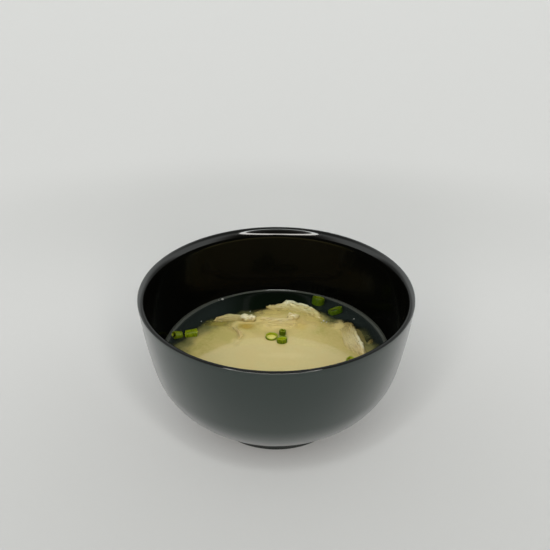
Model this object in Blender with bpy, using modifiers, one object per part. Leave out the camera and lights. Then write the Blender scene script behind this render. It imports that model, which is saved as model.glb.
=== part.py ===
"""Bowl of chicken soup: a black lacquered bowl on a foot ring, cloudy broth, torn chicken and spring onion.

Metres, +Z up. The origin is the centre of the foot ring's base, on the surface that the bowl stands on.
+Y points away from the person who eats. Heights of the food are counted from the broth's level.
"""

import math

import bmesh
import bpy
from mathutils import Matrix, Vector, noise

MM = 0.001

# The bowl's outer wall, from the rim down: each bend turns the wall towards level over a length.
RIM_RADIUS = 57.5 * MM
BOWL_HEIGHT = 62.5 * MM
RIM_LEAN = math.radians(2.5)
OUTER_BENDS = (
    (math.radians(7.1), 29.8 * MM, 4),
    (math.radians(40.8), 21.8 * MM, 7),
    (math.radians(14.6), 11.4 * MM, 2),
)

# The wall is thickest at the rim, thins quickly below it and thickens again towards the foot.
WALL_AT_RIM = 3.65 * MM
WALL = 2.2 * MM
WALL_AT_FOOT = 2.8 * MM
RIM_FALL = 4
FLOOR_BENDS = ((math.radians(25.0), 15.0 * MM, 3),)

LIP_EDGE_RADIUS = 0.5 * MM
LIP_EDGE_STEPS = 3
LIP_FLARE_HEIGHT = 4.3 * MM
LIP_FLARE_STEPS = 6

FOOT_RADIUS = 33.3 * MM
FOOT_WIDTH = 2.6 * MM
FOOT_EDGE = 0.4 * MM
FOOT_HOLLOW = 4.6 * MM

TURNED_STEPS = 48
SAME_POINT = 0.01 * MM
SHARP_ANGLE = math.radians(35)

# The broth and what stands in it.
BROTH_LEVEL = 28.1 * MM
GAP = 0.3 * MM

# Torn meat: how far apart its sections lie, how thick the torn ends are left (a share of the middle),
# how deep the fibres run and how uneven the tearing is (shares of the section), and the tearing's grain.
SHRED_STEP = 2.4 * MM
STRAND_STEP = 3.6 * MM
SHRED_SIDES = 10
SHRED_TIP = 0.25
FIBRE_RELIEF = 0.16
TORN_UNEVENNESS = 0.3
TORN_GRAIN = 3.0 * MM
LUMPS_PER_KNOB = 3.2

BUNDLE_STRANDS = 5
BUNDLE_BULGE = 3.2

SCALLION_WALL = 0.75 * MM
SCALLION_SIDES = 16

LACQUER = ("black_lacquer", (0.012, 0.013, 0.013), 0.32)
BROTH = ("cloudy_broth", (0.42, 0.37, 0.19), 0.05)
CHICKEN = ("poached_chicken", (0.62, 0.50, 0.27), 0.45)
SCALLION = ("spring_onion", (0.13, 0.26, 0.015), 0.35)


def clear_scene():
    for obj in list(bpy.data.objects):
        bpy.data.objects.remove(obj, do_unlink=True)


def new_collection(name):
    collection = bpy.data.collections.new(name)
    bpy.context.scene.collection.children.link(collection)
    return collection


def finish(kind):
    """The Principled material of this kind, made once for each object that asks."""
    name, colour, roughness = kind
    material = bpy.data.materials.new(name)
    material.use_nodes = True
    shader = material.node_tree.nodes["Principled BSDF"]
    shader.inputs["Base Color"].default_value = (*colour, 1.0)
    shader.inputs["Roughness"].default_value = roughness
    shader.inputs["Metallic"].default_value = 0.0
    material.diffuse_color = (*colour, 1.0)
    return material


def object_from(name, bm, collection, kind=None):
    mesh = bpy.data.meshes.new(name)
    bm.to_mesh(mesh)
    bm.free()
    mesh.shade_smooth()
    if kind:
        mesh.materials.append(finish(kind))
    obj = bpy.data.objects.new(name, mesh)
    collection.objects.link(obj)
    return obj


# --- The bowl's profile ---------------------------------------------------------------------------


def run_down(radius, height, lean, bends):
    """Points (radius, height, lean) along a wall that goes down and inwards in tangent arcs."""
    points = [(radius, height, lean)]
    for turn, length, steps in bends:
        for _ in range(steps):
            lean += turn / steps / 2
            radius -= math.sin(lean) * length / steps
            height -= math.cos(lean) * length / steps
            lean += turn / steps / 2
            points.append((radius, height, lean))
    return points


def outer_wall():
    return run_down(RIM_RADIUS, BOWL_HEIGHT - LIP_EDGE_RADIUS, RIM_LEAN, OUTER_BENDS)


def inner_wall(clearance=0.0):
    """The wall's inner face from below the lip's flare down to the floor, moved inwards by a clearance."""
    top = BOWL_HEIGHT - LIP_FLARE_HEIGHT
    outside = outer_wall()
    lowest = outside[-1][1]
    inside = []
    for radius, height, lean in outside:
        depth = (BOWL_HEIGHT - height) / (BOWL_HEIGHT - lowest)
        at_rim = (WALL_AT_RIM - WALL) * (1 - depth)**RIM_FALL
        at_foot = (WALL_AT_FOOT - WALL) * depth**2
        wall = WALL + at_rim + at_foot + clearance
        inside.append((radius - wall * math.cos(lean), height + wall * math.sin(lean), lean))
    floor = run_down(*inside[-1], FLOOR_BENDS)
    points = [(radius, height) for radius, height, lean in inside + floor[1:]]
    return cut_off_above(points, top)


def cut_off_above(points, height):
    """A falling run of (radius, height) points, started where it passes this height."""
    for i, (low_radius, low) in enumerate(points):
        if low < height:
            break
    high_radius, high = points[i - 1]
    share = (high - height) / (high - low)
    first = (high_radius + (low_radius - high_radius) * share, height)
    return [first] + points[i:]


def lip(inner_radius):
    """The lip from its inner face to its outer one: an oval flare inside, then a small round edge."""
    flare_width = RIM_RADIUS - LIP_EDGE_RADIUS - inner_radius
    points = []
    for i in range(1, LIP_FLARE_STEPS + 1):
        angle = math.radians(90 * i / LIP_FLARE_STEPS)
        radius = inner_radius + flare_width * (1 - math.cos(angle))
        points.append((radius, BOWL_HEIGHT - LIP_FLARE_HEIGHT * (1 - math.sin(angle))))
    for i in range(1, LIP_EDGE_STEPS):
        angle = math.radians(90 * i / LIP_EDGE_STEPS)
        radius = RIM_RADIUS - LIP_EDGE_RADIUS * (1 - math.sin(angle))
        points.append((radius, BOWL_HEIGHT - LIP_EDGE_RADIUS * (1 - math.cos(angle))))
    return points


def foot():
    inner = FOOT_RADIUS - FOOT_WIDTH
    return [
        (FOOT_RADIUS, FOOT_EDGE),
        (FOOT_RADIUS - FOOT_EDGE, 0.0),
        (inner + FOOT_EDGE, 0.0),
        (inner, FOOT_EDGE),
        (inner - FOOT_EDGE, FOOT_HOLLOW - FOOT_EDGE),
        (inner - 2 * FOOT_EDGE, FOOT_HOLLOW),
        (0.0, FOOT_HOLLOW),
    ]


def bowl_profile():
    inside = inner_wall()
    up_the_inside = [(0.0, inside[-1][1])] + inside[::-1]
    down_the_outside = [(radius, height) for radius, height, lean in outer_wall()]
    return up_the_inside + lip(inside[0][0]) + down_the_outside + foot()


def broth_profile():
    """The space inside the bowl up to the level, a gap clear of the wall."""
    side = cut_off_above(inner_wall(GAP), BROTH_LEVEL)
    return [(0.0, BROTH_LEVEL)] + side + [(0.0, side[-1][1])]


def turned(name, profile, collection, kind):
    """A body turned about Z from a profile of (radius, height) points, by a Screw modifier."""
    bm = bmesh.new()
    verts = [bm.verts.new((radius, 0.0, height)) for radius, height in profile]
    for upper, lower in zip(verts, verts[1:]):
        bm.edges.new((upper, lower))
    obj = object_from(name, bm, collection, kind)
    screw = obj.modifiers.new("turn", "SCREW")
    screw.axis = "Z"
    screw.steps = TURNED_STEPS
    screw.render_steps = TURNED_STEPS
    screw.use_merge_vertices = True
    screw.merge_threshold = SAME_POINT
    return obj


# --- Torn chicken ---------------------------------------------------------------------------------


def smooth_path(points, step):
    """Places about a step apart on a smooth curve through the points (Catmull-Rom)."""
    points = [Vector(p) * MM for p in points]
    first = points[0] * 2 - points[1]
    last = points[-1] * 2 - points[-2]
    knots = [first] + points + [last]
    places = [points[0]]
    for a, b, c, d in zip(knots, knots[1:], knots[2:], knots[3:]):
        count = max(1, round((c - b).length / step))
        for i in range(1, count + 1):
            t = i / count
            curve = 2 * b + (c - a) * t + (2 * a - 5 * b + 4 * c - d) * t**2
            places.append((curve + (3 * b - a - 3 * c + d) * t**3) / 2)
    return places


def shred(path, width, depth, roll=0.0, ridges=4, seed=0, step=SHRED_STEP):
    """A torn strip of meat: a flat oval section with fibre ridges, drawn along a path in mm above the
    broth's level, with ragged ends. Roll tips up the side that is on the left when looking along it."""
    centres = smooth_path(path, step)
    level = Vector((0, 0, BROTH_LEVEL))
    rings = []
    for i, centre in enumerate(centres):
        ahead = centres[min(i + 1, len(centres) - 1)] - centres[max(i - 1, 0)]
        side = ahead.cross(Vector((0, 0, 1))).normalized()
        side.rotate(Matrix.Rotation(math.radians(roll), 3, ahead))
        up = side.cross(ahead).normalized()
        along = 2 * i / (len(centres) - 1) - 1
        swell = max(1 - abs(along) ** 3, 0.0) ** 0.5 * (1 - SHRED_TIP) + SHRED_TIP
        ring = []
        for k in range(SHRED_SIDES):
            angle = math.tau * k / SHRED_SIDES
            around = centre / TORN_GRAIN + side * math.cos(angle) + up * math.sin(angle)
            torn = 1 + TORN_UNEVENNESS * noise.noise(around + Vector((seed, 0, 0)))
            fibre = 1 + FIBRE_RELIEF * math.cos(ridges * angle + seed)
            across = side * math.cos(angle) * width * MM / 2
            lift = up * math.sin(angle) * depth * MM / 2
            ring.append(level + centre + (across + lift) * swell * fibre * torn)
        rings.append(ring)
    return lofted(rings)


def lofted(rings):
    """A closed skin over rings of points that differ in size and shape, with a face across each end."""
    bm = bmesh.new()
    loops = [[bm.verts.new(point) for point in ring] for ring in rings]
    for near, far in zip(loops, loops[1:]):
        for k in range(len(near)):
            bm.faces.new((near[k - 1], near[k], far[k], far[k - 1]))
    bm.faces.new(loops[0])
    bm.faces.new(loops[-1])
    bmesh.ops.recalc_face_normals(bm, faces=bm.faces)
    return bm


def lump(centre, size, turn=0.0, roughness=0.2, seed=0):
    """A crumpled knob of meat: a ball pulled to its size in mm, pushed in and out by noise."""
    bm = bmesh.new()
    bmesh.ops.create_icosphere(bm, subdivisions=2, radius=0.5)
    for vert in bm.verts:
        push = noise.noise(vert.co * LUMPS_PER_KNOB + Vector((seed, seed, 0)))
        vert.co *= 1 + roughness * push
    spot = Vector(centre) * MM + Vector((0, 0, BROTH_LEVEL))
    scale = Matrix.Diagonal(Vector(size) * MM).to_4x4()
    place = Matrix.Translation(spot) @ Matrix.Rotation(math.radians(turn), 4, "Z") @ scale
    bmesh.ops.transform(bm, matrix=place, verts=bm.verts)
    return bm


def apply_modifiers(obj):
    """Gives the object the mesh that its modifiers make, and takes them off."""
    graph = bpy.context.evaluated_depsgraph_get()
    mesh = bpy.data.meshes.new_from_object(obj.evaluated_get(graph))
    mesh.set_sharp_from_angle(angle=SHARP_ANGLE)
    obj.modifiers.clear()
    obj.data = mesh


def fused(name, shapes, collection):
    """One piece of chicken from overlapping shapes, joined by one Boolean union."""
    piece = object_from(name, shapes[0], collection, CHICKEN)
    if len(shapes) == 1:
        return
    helpers = new_collection(name + "_joined")
    for i, bm in enumerate(shapes[1:]):
        object_from(f"{name}_{i}", bm, helpers)
    union = piece.modifiers.new("join", "BOOLEAN")
    union.operation = "UNION"
    union.operand_type = "COLLECTION"
    union.collection = helpers
    union.solver = "MANIFOLD"
    apply_modifiers(piece)
    for obj in list(helpers.objects):
        bpy.data.objects.remove(obj, do_unlink=True)
    bpy.data.collections.remove(helpers)


def chicken_left():
    """A strip at the left of the heap that sinks towards the front and ends in a crumpled knob."""
    body = [(-30.2, 22.8, -1.0), (-26.4, 24.0, -0.9), (-21.6, 24.3, -0.9), (-12.4, 23.2, -1.2)]
    back_edge = [(-30.7, 22.3, -0.3), (-28.8, 24.0, 0.0), (-25.6, 25.4, 0.1), (-21.0, 26.0, 0.1)]
    back_edge.append((-16.0, 25.1, 0.1))
    return [
        shred(body, width=5.0, depth=2.7, roll=20, seed=1),
        shred(back_edge, width=2.1, depth=1.7, seed=2),
        lump((-14.8, 23.6, 0.8), (5.6, 4.4, 3.4), turn=-8, roughness=0.6, seed=2),
        lump((-11.9, 23.2, 0.7), (4.2, 4.0, 3.2), turn=20, roughness=0.6, seed=5),
    ]


def chicken_curl():
    """A thin strand, barely through the surface, that curls forward from under the knob."""
    path = [(-22.3, 20.4, -1.0), (-20.9, 17.6, -0.6), (-18.2, 14.4, -0.4), (-16.7, 10.6, -0.4)]
    path.append((-18.6, 5.0, -1.1))
    return [shred(path, width=2.2, depth=1.5, ridges=3, seed=3)]


def chicken_middle():
    """A broad slab just awash: its back edge and its right corner show, its front sinks into the broth."""
    slab = [(-8.0, 19.2, -1.6), (-3.6, 19.4, -1.3), (8.0, 19.4, -1.4), (13.0, 19.0, -1.8)]
    edge = [(-8.0, 23.2, 0.0), (-6.8, 24.2, 0.3), (-4.2, 23.5, 0.2), (0.6, 22.8, 0.3), (5.6, 22.8, 0.2)]
    return [
        shred(slab, width=9.6, depth=3.0, roll=11, ridges=6, seed=4),
        shred(edge, width=1.8, depth=1.6, ridges=3, seed=5),
        lump((8.4, 25.2, 0.1), (6.6, 5.4, 3.4), turn=10, roughness=0.5, seed=6),
    ]


def chicken_back():
    """The highest piece: a torn strip, thin at its left end and broad at its right one, that runs round
    the back. Its far edge is turned up, with a knob on top, and its front sinks into the broth."""
    left = [(-4.9, 34.4, -0.5), (-1.0, 34.2, -0.4), (4.0, 34.0, -0.5), (9.0, 33.4, -0.7)]
    right = [(6.0, 32.8, -0.9), (12.6, 32.1, -0.7), (17.4, 28.9, -0.8), (21.0, 24.0, -1.2)]
    far_edge = [(-5.0, 34.8, 0.0), (0.0, 35.0, 0.3), (5.6, 35.6, 0.6), (10.6, 35.2, 0.7), (15.4, 33.4, 0.6)]
    far_edge += [(19.6, 29.8, 0.3), (22.0, 24.8, -0.3)]
    return [
        shred(right, width=6.4, depth=3.0, roll=18, seed=7),
        shred(left, width=3.0, depth=2.3, roll=15, seed=4),
        shred(far_edge, width=2.3, depth=2.0, ridges=3, seed=8),
        lump((5.9, 36.4, 1.4), (3.6, 2.9, 2.9), turn=10, roughness=0.7, seed=9),
        lump((8.7, 36.2, 1.2), (3.4, 2.7, 2.7), turn=-20, roughness=0.6, seed=3),
    ]


def chicken_right():
    """A bundle of long fibres side by side: the outer strand is the longest and the highest, the strands
    between the two outermost ones reach further back, and all of them dip under there."""
    inner = [(31.0, 19.6, -1.9), (31.8, 11.4, -0.9), (32.8, 3.0, -0.7), (34.2, -2.6, -1.2)]
    outer = [(37.7, 19.8, -1.6), (36.9, 11.4, 0.0), (38.7, 2.0, 0.4), (39.2, -7.2, -0.3)]
    shapes = []
    for i in range(BUNDLE_STRANDS):
        share = i / (BUNDLE_STRANDS - 1)
        path = [Vector(near).lerp(Vector(far), share) for near, far in zip(inner, outer)]
        path[0].y += BUNDLE_BULGE * math.sin(math.pi * share)
        shapes.append(shred(path, width=2.6, depth=2.5, ridges=3, seed=10 + i, step=STRAND_STEP))
    return shapes


def chicken_flake():
    """A small wing of meat beside the bundle, barely through the surface."""
    path = [(41.5, 2.0, -0.9), (43.1, 4.8, -0.4), (44.9, 8.0, -0.5)]
    return [shred(path, width=2.3, depth=1.4, ridges=3, seed=14)]


# --- Spring onion slices --------------------------------------------------------------------------

# Name, place (x, y, height of its middle), outer radius, length, oval, tilt and heading in degrees.
SCALLIONS = (
    ("scallion_ring", (-2.1, 9.2, 0.0), 2.8, 1.7, 1.03, 4, 0),
    ("scallion_tube", (3.1, 11.4, 0.3), 1.38, 4.6, 1.2, 10, 0),
    ("scallion_low", (2.7, 5.8, 0.5), 2.2, 2.2, 1.15, 12, 190),
    ("scallion_left", (-46.3, 10.2, 0.4), 2.0, 4.0, 1.1, 68, -55),
    ("scallion_left_2", (-39.9, 11.4, 0.3), 2.2, 5.4, 1.0, 84, 98),
    ("scallion_back", (21.6, 39.0, 0.9), 3.0, 3.8, 1.08, 16, 150),
    ("scallion_right", (29.8, 30.6, 0.4), 3.4, 2.4, 1.2, 22, 215),
    ("scallion_near", (33.0, -8.8, 0.1), 2.5, 1.6, 1.1, 10, 90),
)


def scallion(row, collection):
    """A slice of a hollow leaf: an open tube, a little oval, given its wall by Solidify."""
    name, place, radius, length, oval, tilt, heading = row
    bm = bmesh.new()
    made = bmesh.ops.create_circle(bm, segments=SCALLION_SIDES, radius=radius * MM)
    rim = list({edge for vert in made["verts"] for edge in vert.link_edges})
    grown = bmesh.ops.extrude_edge_only(bm, edges=rim)["geom"]
    top = [item for item in grown if isinstance(item, bmesh.types.BMVert)]
    bmesh.ops.translate(bm, verts=top, vec=(0, 0, length * MM))
    bmesh.ops.translate(bm, verts=bm.verts, vec=(0, 0, -length * MM / 2))
    bmesh.ops.scale(bm, verts=bm.verts, vec=(oval, 1 / oval, 1))
    bmesh.ops.recalc_face_normals(bm, faces=bm.faces)
    obj = object_from(name, bm, collection, SCALLION)
    shell = obj.modifiers.new("wall", "SOLIDIFY")
    shell.thickness = SCALLION_WALL
    shell.offset = -1
    x, y, height = place
    obj.location = (x * MM, y * MM, BROTH_LEVEL + height * MM)
    obj.rotation_euler = (math.radians(tilt), 0, math.radians(heading))
    return obj


# --- The broth, cut round what stands in it -------------------------------------------------------


def pocket(name, bm, place, cutters):
    """A cutter of this shape, a gap larger all round."""
    cutter = object_from(name + "_pocket", bm, cutters)
    cutter.matrix_world = place
    cutter.hide_render = True
    cutter.display_type = "WIRE"
    grow = cutter.modifiers.new("grow", "DISPLACE")
    grow.strength = GAP
    grow.mid_level = 0.0


def evaluated(obj):
    graph = bpy.context.evaluated_depsgraph_get()
    bm = bmesh.new()
    bm.from_mesh(bpy.data.meshes.new_from_object(obj.evaluated_get(graph)))
    return bm


def broth_round(cutters, collection):
    """The broth, cut by every pocket in turn."""
    broth = turned("broth", broth_profile(), collection, BROTH)
    for cutter in cutters.objects:
        cut = broth.modifiers.new(cutter.name, "BOOLEAN")
        cut.operation = "DIFFERENCE"
        cut.object = cutter
        cut.solver = "MANIFOLD"
    apply_modifiers(broth)
    drop_scraps(broth.data)


def drop_scraps(mesh):
    """Keeps the largest shell of a mesh, so that no loose crumb or sealed bubble of the cuts stays."""
    bm = bmesh.new()
    bm.from_mesh(mesh)
    unseen = set(bm.verts)
    shells = []
    while unseen:
        shell = set()
        edge_of_shell = [unseen.pop()]
        while edge_of_shell:
            vert = edge_of_shell.pop()
            shell.add(vert)
            near = {edge.other_vert(vert) for edge in vert.link_edges} & unseen
            unseen -= near
            edge_of_shell.extend(near)
        shells.append(shell)
    largest = max(shells, key=len)
    scraps = [vert for vert in bm.verts if vert not in largest]
    bmesh.ops.delete(bm, geom=scraps, context="VERTS")
    bm.to_mesh(mesh)
    bm.free()


CHICKEN_PIECES = {
    "chicken_left": chicken_left,
    "chicken_curl": chicken_curl,
    "chicken_middle": chicken_middle,
    "chicken_back": chicken_back,
    "chicken_right": chicken_right,
    "chicken_flake": chicken_flake,
}


def main():
    clear_scene()
    soup = new_collection("bowl_of_chicken_soup")
    cutters = new_collection("cutters")
    turned("bowl", bowl_profile(), soup, LACQUER)
    for name, shapes_of in CHICKEN_PIECES.items():
        shapes = shapes_of()
        for bm in shapes:
            pocket(name, bm.copy(), Matrix.Identity(4), cutters)
        fused(name, shapes, soup)
    for row in SCALLIONS:
        ring = scallion(row, soup)
        bpy.context.view_layer.update()
        pocket(ring.name, evaluated(ring), ring.matrix_world.copy(), cutters)
    bpy.context.view_layer.update()
    broth_round(cutters, soup)


main()
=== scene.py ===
# %% [markdown]
# # A bowl of chicken noodle soup
# The real thing is a black lacquered bowl on a foot ring, not quite half full of cloudy broth. Torn
# chicken and slices of spring onion break the surface, and soft noodles lie under it. The shapes that
# carry weight already exist as plain solids. This notebook dresses them: finer skins where the solids are
# coarse, the things that are sunk in the soup, and a finish for every surface. The solids come first,
# because every new piece takes its place from them.

import math
import random

import bmesh
import bpy
import numpy as np
from mathutils import Matrix, Vector, noise
from mathutils.bvhtree import BVHTree


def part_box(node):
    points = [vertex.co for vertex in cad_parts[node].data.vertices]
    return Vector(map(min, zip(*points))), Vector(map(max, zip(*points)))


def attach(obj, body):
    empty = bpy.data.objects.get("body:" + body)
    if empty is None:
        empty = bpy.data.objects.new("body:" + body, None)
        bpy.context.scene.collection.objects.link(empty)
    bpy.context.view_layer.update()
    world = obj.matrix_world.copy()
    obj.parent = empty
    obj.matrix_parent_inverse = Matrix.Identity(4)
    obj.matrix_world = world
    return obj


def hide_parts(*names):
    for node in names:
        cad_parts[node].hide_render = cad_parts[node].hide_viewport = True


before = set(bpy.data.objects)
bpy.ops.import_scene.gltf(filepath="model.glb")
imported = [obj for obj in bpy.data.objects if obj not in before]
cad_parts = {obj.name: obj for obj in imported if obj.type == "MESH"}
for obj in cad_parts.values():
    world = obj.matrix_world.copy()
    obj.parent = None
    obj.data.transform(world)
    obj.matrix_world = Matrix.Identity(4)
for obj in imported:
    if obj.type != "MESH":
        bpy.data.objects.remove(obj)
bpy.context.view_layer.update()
scene = bpy.context.scene
MM = 0.001
SAME_POINT = 0.01 * MM
DOWN = Vector((0, 0, -1))
print("solids:", ", ".join(sorted(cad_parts)))

# %% [markdown]
# ## The camera
# A lens of 36 mm on a 36 mm sensor looks down on the bowl by thirty degrees from some 27 cm away, so the
# rim is a wide oval and the near lip hides the front of the soup. Its place was fitted to the ovals of
# the rim, the foot and the soup. The camera is set first, because every look at the work goes through it.

# %% Camera
CAMERA_PLACE = (-0.0005, -0.1992, 0.1821)
CAMERA_LOOKS_DOWN = math.radians(30.02)
LENS_LENGTH = 36
SENSOR_WIDTH = 36
lens = bpy.data.cameras.new("camera")
lens.lens = LENS_LENGTH
lens.sensor_width = SENSOR_WIDTH
camera = bpy.data.objects.new("camera", lens)
camera.location = CAMERA_PLACE
camera.rotation_euler = (math.radians(90) - CAMERA_LOOKS_DOWN, 0, 0)
scene.collection.objects.link(camera)
scene.camera = camera
scene.view_settings.view_transform = "Standard"
print(f"the camera is {Vector(CAMERA_PLACE).length / MM:.0f} mm from the middle of the foot")

# %% [markdown]
# ## Writing shaders as sums
# Node trees are easier to read as arithmetic. A small class wraps the output of a node, and its
# operators add the Math nodes, so that a formula for the roughness reads like a formula. Each operator
# has a reflected form, so that 1 - mask works too. They differ only in the node's operation, so one
# function makes them all.


# %% Node outputs that can be added and multiplied
def operator(operation, swapped=False):
    """A method that adds a Math node for a socket and a second number, the other way round if swapped."""

    def method(self, other):
        values = {0: other, 1: self} if swapped else {0: self, 1: other}
        return self.nodes.add("ShaderNodeMath", {"operation": operation}, values)

    return method


class Socket:
    """The output of a node. Arithmetic on it adds Math nodes."""

    __add__ = operator("ADD")
    __radd__ = operator("ADD", swapped=True)
    __sub__ = operator("SUBTRACT")
    __rsub__ = operator("SUBTRACT", swapped=True)
    __mul__ = operator("MULTIPLY")
    __rmul__ = operator("MULTIPLY", swapped=True)
    __truediv__ = operator("DIVIDE")
    __rtruediv__ = operator("DIVIDE", swapped=True)
    __pow__ = operator("POWER")
    __rpow__ = operator("POWER", swapped=True)

    def __init__(self, nodes, output):
        self.nodes = nodes
        self.output = output

    def __abs__(self):
        return self.nodes.add("ShaderNodeMath", {"operation": "ABSOLUTE"}, {0: self})


def between(share, first, second):
    """The first number where share is 0 and the second where it is 1."""
    return first + share * (second - first)


def rgba(colour):
    """A colour with full opacity, as a socket wants it. A node's output stays as it is."""
    return (*colour, 1.0) if isinstance(colour, tuple) and len(colour) == 3 else colour


print("node outputs can be added, multiplied and raised to a power")

# %% [markdown]
# ### A tree, and a material
# A second class holds the tree, with one method that adds any node: its settings are written first, and
# then its sockets. The noises, soft steps and blends that the finishes share are methods too. A finish
# is such a tree round one Principled shader. What stays the same over a surface is written on the
# shader's own sockets, and only what varies is linked.


# %% Node trees written with expressions
class Nodes:
    """A node tree written with expressions."""

    def __init__(self, tree):
        self.tree = tree

    def add(self, kind, settings=None, values=None, out=0):
        """Adds a node: its settings first, and then the values or links of its sockets."""
        node = self.tree.nodes.new(kind)
        for name, value in (settings or {}).items():
            if name == "stops":
                self.set_stops(node.color_ramp, value)
            else:
                setattr(node, name, value)
        for key, value in (values or {}).items():
            self.put(node.inputs[key], value)
        return Socket(self, node.outputs[out])

    def put(self, socket, value):
        """Links a node's output to a socket, or writes a value on it."""
        if isinstance(value, Socket):
            self.tree.links.new(value.output, socket)
        else:
            socket.default_value = value

    def set_stops(self, ramp, stops):
        ramp.interpolation = "EASE"
        while len(ramp.elements) < len(stops):
            ramp.elements.new(0.5)
        for element, (position, colour) in zip(ramp.elements, stops):
            element.position = position
            element.color = rgba(colour)

    def place(self):
        """Where a point is on its piece, in metres."""
        return self.add("ShaderNodeTexCoord", out="Object")

    def split(self, vector):
        """The three numbers of a place."""
        node = self.add("ShaderNodeSeparateXYZ", values={0: vector}).output.node
        return [Socket(self, output) for output in node.outputs]

    def kept(self, name):
        """A number that was stored on the mesh, point by point."""
        return self.add("ShaderNodeAttribute", {"attribute_name": name}, out="Fac")

    def clouds(self, size, detail=2.0, stretch=(1.0, 1.0, 1.0), rough=0.5):
        """Soft noise from 0 to 1 with spots about this size in metres, longer where stretch is over 1."""
        scale = tuple(1 / (size * factor) for factor in stretch)
        spots = self.add("ShaderNodeMapping", {}, {"Vector": self.place(), "Scale": scale})
        values = {0: spots, "Scale": 1.0, "Detail": detail, "Roughness": rough}
        return self.add("ShaderNodeTexNoise", {}, values)

    def smooth(self, value, low, high):
        """0 below low and 1 above high, with a soft step between; the other way round if low is larger."""
        settings = {"interpolation_type": "SMOOTHSTEP"}
        if low < high:
            return self.add("ShaderNodeMapRange", settings, {0: value, 1: low, 2: high, 3: 0.0, 4: 1.0})
        return self.add("ShaderNodeMapRange", settings, {0: value, 1: high, 2: low, 3: 1.0, 4: 0.0})

    def blend(self, share, first, second):
        """The first colour where share is 0 and the second where it is 1."""
        values = {0: share, 6: rgba(first), 7: rgba(second)}
        return self.add("ShaderNodeMix", {"data_type": "RGBA"}, values, out=2)

    def ramp(self, value, stops):
        """The colour at this value, between stops of a position and a colour."""
        return self.add("ShaderNodeValToRGB", {"stops": stops}, {0: value})

    def larger(self, first, second):
        """The larger of two numbers, point by point."""
        return self.add("ShaderNodeMath", {"operation": "MAXIMUM"}, {0: first, 1: second})


# %% A material with one shader
class Finish(Nodes):
    """A material with one Principled shader: constants on its sockets, and links for what varies."""

    def __init__(self, name, constants):
        self.material = bpy.data.materials.new(name)
        self.material.use_nodes = True
        super().__init__(self.material.node_tree)
        self.shader = self.tree.nodes["Principled BSDF"]
        self.set(constants)

    def set(self, values):
        for name, value in values.items():
            self.put(self.shader.inputs[name], rgba(value) if name == "Base Color" else value)

    def bump(self, height, depth, strength=1.0):
        """Relief that is too fine for the mesh: height from 0 to 1, depth in metres."""
        values = {"Height": height, "Distance": depth, "Strength": strength}
        self.set({"Normal": self.add("ShaderNodeBump", {}, values)})


print("shader helpers are ready")

# %% [markdown]
# ## Pieces from bmesh
# Each new piece is shaped as a bmesh and then becomes an object at the origin, with its place in its
# mesh. It rides on the one body of the bowl, takes its finishes into its material slots, and hides the
# solids that it stands for.


# %% From a bmesh to a piece of the bowl
def mesh_from(name, bm):
    """A smooth-shaded mesh of a bmesh, which is used up."""
    mesh = bpy.data.meshes.new(name)
    bm.to_mesh(mesh)
    bm.free()
    mesh.shade_smooth()
    return mesh


def piece(name, mesh, finishes, stands_for=()):
    """An object that rides on the bowl and shows this mesh."""
    obj = bpy.data.objects.new(name, mesh)
    scene.collection.objects.link(obj)
    for finish in finishes:
        mesh.materials.append(finish.material)
    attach(obj, "root")
    if stands_for:
        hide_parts(*stands_for)
    print(f"{name}: {sum(len(face.vertices) - 2 for face in mesh.polygons)} triangles")
    return obj


def with_modifier(mesh, kind, settings):
    """The mesh that a modifier makes of a mesh."""
    obj = bpy.data.objects.new("bench", mesh)
    scene.collection.objects.link(obj)
    modifier = obj.modifiers.new("step", kind)
    for name, value in settings.items():
        setattr(modifier, name, value)
    graph = bpy.context.evaluated_depsgraph_get()
    made = bpy.data.meshes.new_from_object(obj.evaluated_get(graph))
    bpy.data.objects.remove(obj)
    return made


def keep(mesh, name, numbers):
    """Stores a number on each point, for a material to read."""
    attribute = mesh.attributes.new(name, "FLOAT", "POINT")
    attribute.data.foreach_set("value", np.asarray(numbers, np.float32))


def turned(profile, steps):
    """A bmesh of a line of (radius, height) points, spun once about Z."""
    bm = bmesh.new()
    verts = [bm.verts.new((radius, 0.0, height)) for radius, height in profile]
    edges = [bm.edges.new(pair) for pair in zip(verts, verts[1:])]
    spun = {"cent": (0, 0, 0), "axis": (0, 0, 1), "angle": math.tau, "steps": steps, "use_merge": True}
    bmesh.ops.spin(bm, geom=verts + edges, **spun)
    bmesh.ops.remove_doubles(bm, verts=bm.verts, dist=SAME_POINT)
    bmesh.ops.recalc_face_normals(bm, faces=bm.faces)
    return bm


print("mesh helpers are ready")

# %% [markdown]
# ## The bowl's profile
# The wall goes down from the rim in three tangent bends: nearly straight, then the belly, then the run
# to the foot. It is thickest at the rim, so that the lip is round and kind to the mouth. The solid has
# all this in coarse steps. Here the same bends are walked in fine steps, and the line is spun. That
# keeps the form and takes away the facets, which a glossy wall would show at once.

# %% The bowl's driving sizes
rim_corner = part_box("bowl")[1]
RIM_RADIUS = rim_corner.x
BOWL_HEIGHT = rim_corner.z
RIM_LEAN = math.radians(2.5)
OUTER_BENDS = (
    (math.radians(7.1), 29.8 * MM),
    (math.radians(40.8), 21.8 * MM),
    (math.radians(14.6), 11.4 * MM),
)
FLOOR_BEND = (math.radians(25.0), 15.0 * MM)
WALL_AT_RIM = 3.65 * MM
WALL = 2.2 * MM
WALL_AT_FOOT = 2.8 * MM
RIM_FALL = 4
LIP_EDGE_RADIUS = 0.5 * MM
LIP_FLARE_HEIGHT = 4.3 * MM
FOOT_RADIUS = 33.3 * MM
FOOT_WIDTH = 2.6 * MM
FOOT_EDGE = 0.4 * MM
FOOT_HOLLOW = 4.6 * MM
BEND_STEPS = 20
SPIN_STEPS = 192
print(f"the bowl is {2 * RIM_RADIUS / MM:.1f} mm across and {BOWL_HEIGHT / MM:.1f} mm high")


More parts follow.
